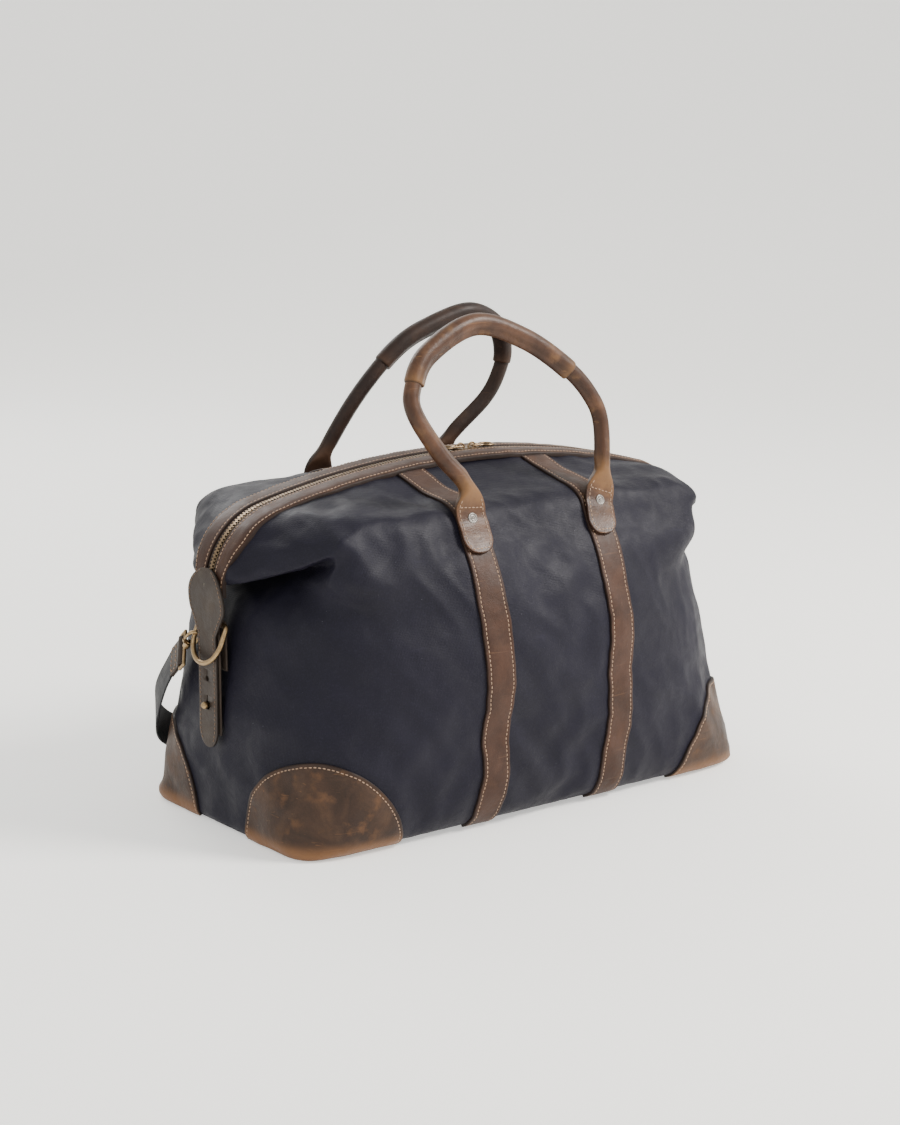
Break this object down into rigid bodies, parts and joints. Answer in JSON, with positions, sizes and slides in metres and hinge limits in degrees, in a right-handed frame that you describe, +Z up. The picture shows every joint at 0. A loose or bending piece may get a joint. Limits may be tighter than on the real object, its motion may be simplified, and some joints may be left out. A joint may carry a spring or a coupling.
{
  "type": "weekend holdall",
  "caption": "Soft zip-top canvas weekend bag with leather trim, two rolled carry handles, buttoned end straps, end rings and a clip-on shoulder strap.",
  "frame": {"origin": "on the floor under the middle of the base", "axes": "+X towards the bag's right end, -Y towards the front, +Z up"},
  "size_m": [0.56, 0.3404, 0.4566],
  "materials": {
    "navy_waxed_canvas": "waxed cotton canvas, soft dull sheen",
    "cotton_lining": "plain cotton drill",
    "base_board": "matte",
    "corner_leather": "oiled pull-up leather, scuffed",
    "brown_leather": "oiled leather, satin",
    "end_leather": "oiled leather, satin",
    "handle_leather": "oiled pull-up leather, satin",
    "zip_tape": "woven tape",
    "antique_brass": "antique, darkened",
    "brass": "lightly aged",
    "rivet_metal": "aged nickel plate",
    "cotton_cord": "twisted cord",
    "dark_webbing": "tight cotton webbing"
  },
  "bodies": {
    "bag": {"front_panel": "navy_waxed_canvas", "back_panel": "navy_waxed_canvas", "left_end_gusset": "navy_waxed_canvas", "right_end_gusset": "navy_waxed_canvas", "base_panel": "navy_waxed_canvas", "lining": "cotton_lining", "base_board": "base_board", "front_left_corner": "corner_leather", "front_right_corner": "corner_leather", "back_left_corner": "corner_leather", "back_right_corner": "corner_leather", "left_wrap_strap": "brown_leather", "right_wrap_strap": "brown_leather", "front_zip_facing": "brown_leather", "back_zip_facing": "brown_leather", "front_zip_tape": "zip_tape", "back_zip_tape": "zip_tape", "front_zip_teeth": "antique_brass", "back_zip_teeth": "antique_brass", "left_end_strap": "end_leather", "right_end_strap": "end_leather", "left_anchor_strap": "end_leather", "right_anchor_strap": "end_leather", "left_button_stud": "brass", "right_button_stud": "brass", "left_stud_screw": "brass", "right_stud_screw": "brass", "front_left_handle_tab": "handle_leather", "front_right_handle_tab": "handle_leather", "back_left_handle_tab": "handle_leather", "back_right_handle_tab": "handle_leather", "handle_rivets": "rivet_metal", "rivet_washers": "rivet_metal", "shoulder_strap": "dark_webbing", "strap_adjuster": "brass"},
    "left_slider": {"left_zip_slider": "antique_brass"},
    "right_slider": {"right_zip_slider": "antique_brass"},
    "left_pull": {"left_zip_puller": "antique_brass"},
    "right_pull": {"right_zip_puller": "antique_brass"},
    "front_handle": {"front_handle_roll": "handle_leather", "front_handle_core": "cotton_cord", "front_handle_sleeve": "handle_leather"},
    "back_handle": {"back_handle_roll": "handle_leather", "back_handle_core": "cotton_cord", "back_handle_sleeve": "handle_leather"},
    "left_ring": {"left_d_ring": "brass"},
    "left_tail": {"left_strap_tail": "end_leather"},
    "left_hook": {"left_clip_hook": "brass"},
    "left_gate": {"left_clip_gate": "brass"},
    "left_swivel": {"left_swivel_eye": "brass", "left_strap_chape": "end_leather"},
    "right_ring": {"right_d_ring": "brass"},
    "right_tail": {"right_strap_tail": "end_leather"},
    "right_hook": {"right_clip_hook": "brass"},
    "right_gate": {"right_clip_gate": "brass"},
    "right_swivel": {"right_swivel_eye": "brass", "right_strap_chape": "end_leather"}
  },
  "joints": [
    {"name": "left_slider_travel", "type": "hinge", "parent": "bag", "child": "left_slider", "pos_m": [0, 0, -0.5378], "axis": [0, 1, 0], "range_deg": [-13.5, 0], "deforming": ["front_zip_teeth", "back_zip_teeth"]},
    {"name": "right_slider_travel", "type": "hinge", "parent": "bag", "child": "right_slider", "pos_m": [0, 0, -0.5378], "axis": [0, 1, 0], "range_deg": [0, 11.5], "deforming": ["front_zip_teeth", "back_zip_teeth"]},
    {"name": "left_pull_lift", "type": "hinge", "parent": "left_slider", "child": "left_pull", "pos_m": [0.01132, 0, 0.32205], "axis": [0, 1, 0], "range_deg": [0, 85]},
    {"name": "right_pull_lift", "type": "hinge", "parent": "right_slider", "child": "right_pull", "pos_m": [0.02489, 0, 0.32177], "axis": [0, -1, 0], "range_deg": [0, 85]},
    {"name": "front_handle_swing", "type": "hinge", "parent": "bag", "child": "front_handle", "pos_m": [0, -0.121, 0.298], "axis": [1, 0, 0], "range_deg": [-28, 120]},
    {"name": "back_handle_swing", "type": "hinge", "parent": "bag", "child": "back_handle", "pos_m": [0, 0.121, 0.298], "axis": [-1, 0, 0], "range_deg": [-28, 120]},
    {"name": "left_ring_swing", "type": "hinge", "parent": "bag", "child": "left_ring", "pos_m": [-0.2643, 0, 0.192], "axis": [0, 1, 0], "range_deg": [0, 38]},
    {"name": "left_tail_lift", "type": "hinge", "parent": "bag", "child": "left_tail", "pos_m": [-0.2717, 0, 0.154], "axis": [0, 1, 0], "range_deg": [0, 50]},
    {"name": "left_hook_swing", "type": "hinge", "parent": "left_ring", "child": "left_hook", "pos_m": [-0.27023, 0.02225, 0.17654], "axis": [0.4264, 0.5814, 0.6929], "range_deg": [-2, 20]},
    {"name": "left_gate_press", "type": "hinge", "parent": "left_hook", "child": "left_gate", "pos_m": [-0.27521, 0.03118, 0.17211], "axis": [0.4264, 0.5814, 0.6929], "range_deg": [0, 12], "stiffness_Nm_per_rad": 0.01},
    {"name": "left_swivel_turn", "type": "hinge", "parent": "left_hook", "child": "left_swivel", "pos_m": [-0.27023, 0.03757, 0.16369], "axis": [0, 0.766, -0.6428], "range_deg": [-15, 15]},
    {"name": "right_ring_swing", "type": "hinge", "parent": "bag", "child": "right_ring", "pos_m": [0.2643, 0, 0.192], "axis": [0, -1, 0], "range_deg": [0, 38]},
    {"name": "right_tail_lift", "type": "hinge", "parent": "bag", "child": "right_tail", "pos_m": [0.2717, 0, 0.154], "axis": [0, -1, 0], "range_deg": [0, 50]},
    {"name": "right_hook_swing", "type": "hinge", "parent": "right_ring", "child": "right_hook", "pos_m": [0.27023, 0.02225, 0.17654], "axis": [0.4264, -0.5814, -0.6929], "range_deg": [-2, 20]},
    {"name": "right_gate_press", "type": "hinge", "parent": "right_hook", "child": "right_gate", "pos_m": [0.27521, 0.03118, 0.17211], "axis": [0.4264, -0.5814, -0.6929], "range_deg": [0, 12], "stiffness_Nm_per_rad": 0.01},
    {"name": "right_swivel_turn", "type": "hinge", "parent": "right_hook", "child": "right_swivel", "pos_m": [0.27023, 0.03757, 0.16369], "axis": [0, 0.766, -0.6428], "range_deg": [-15, 15]}
  ]
}
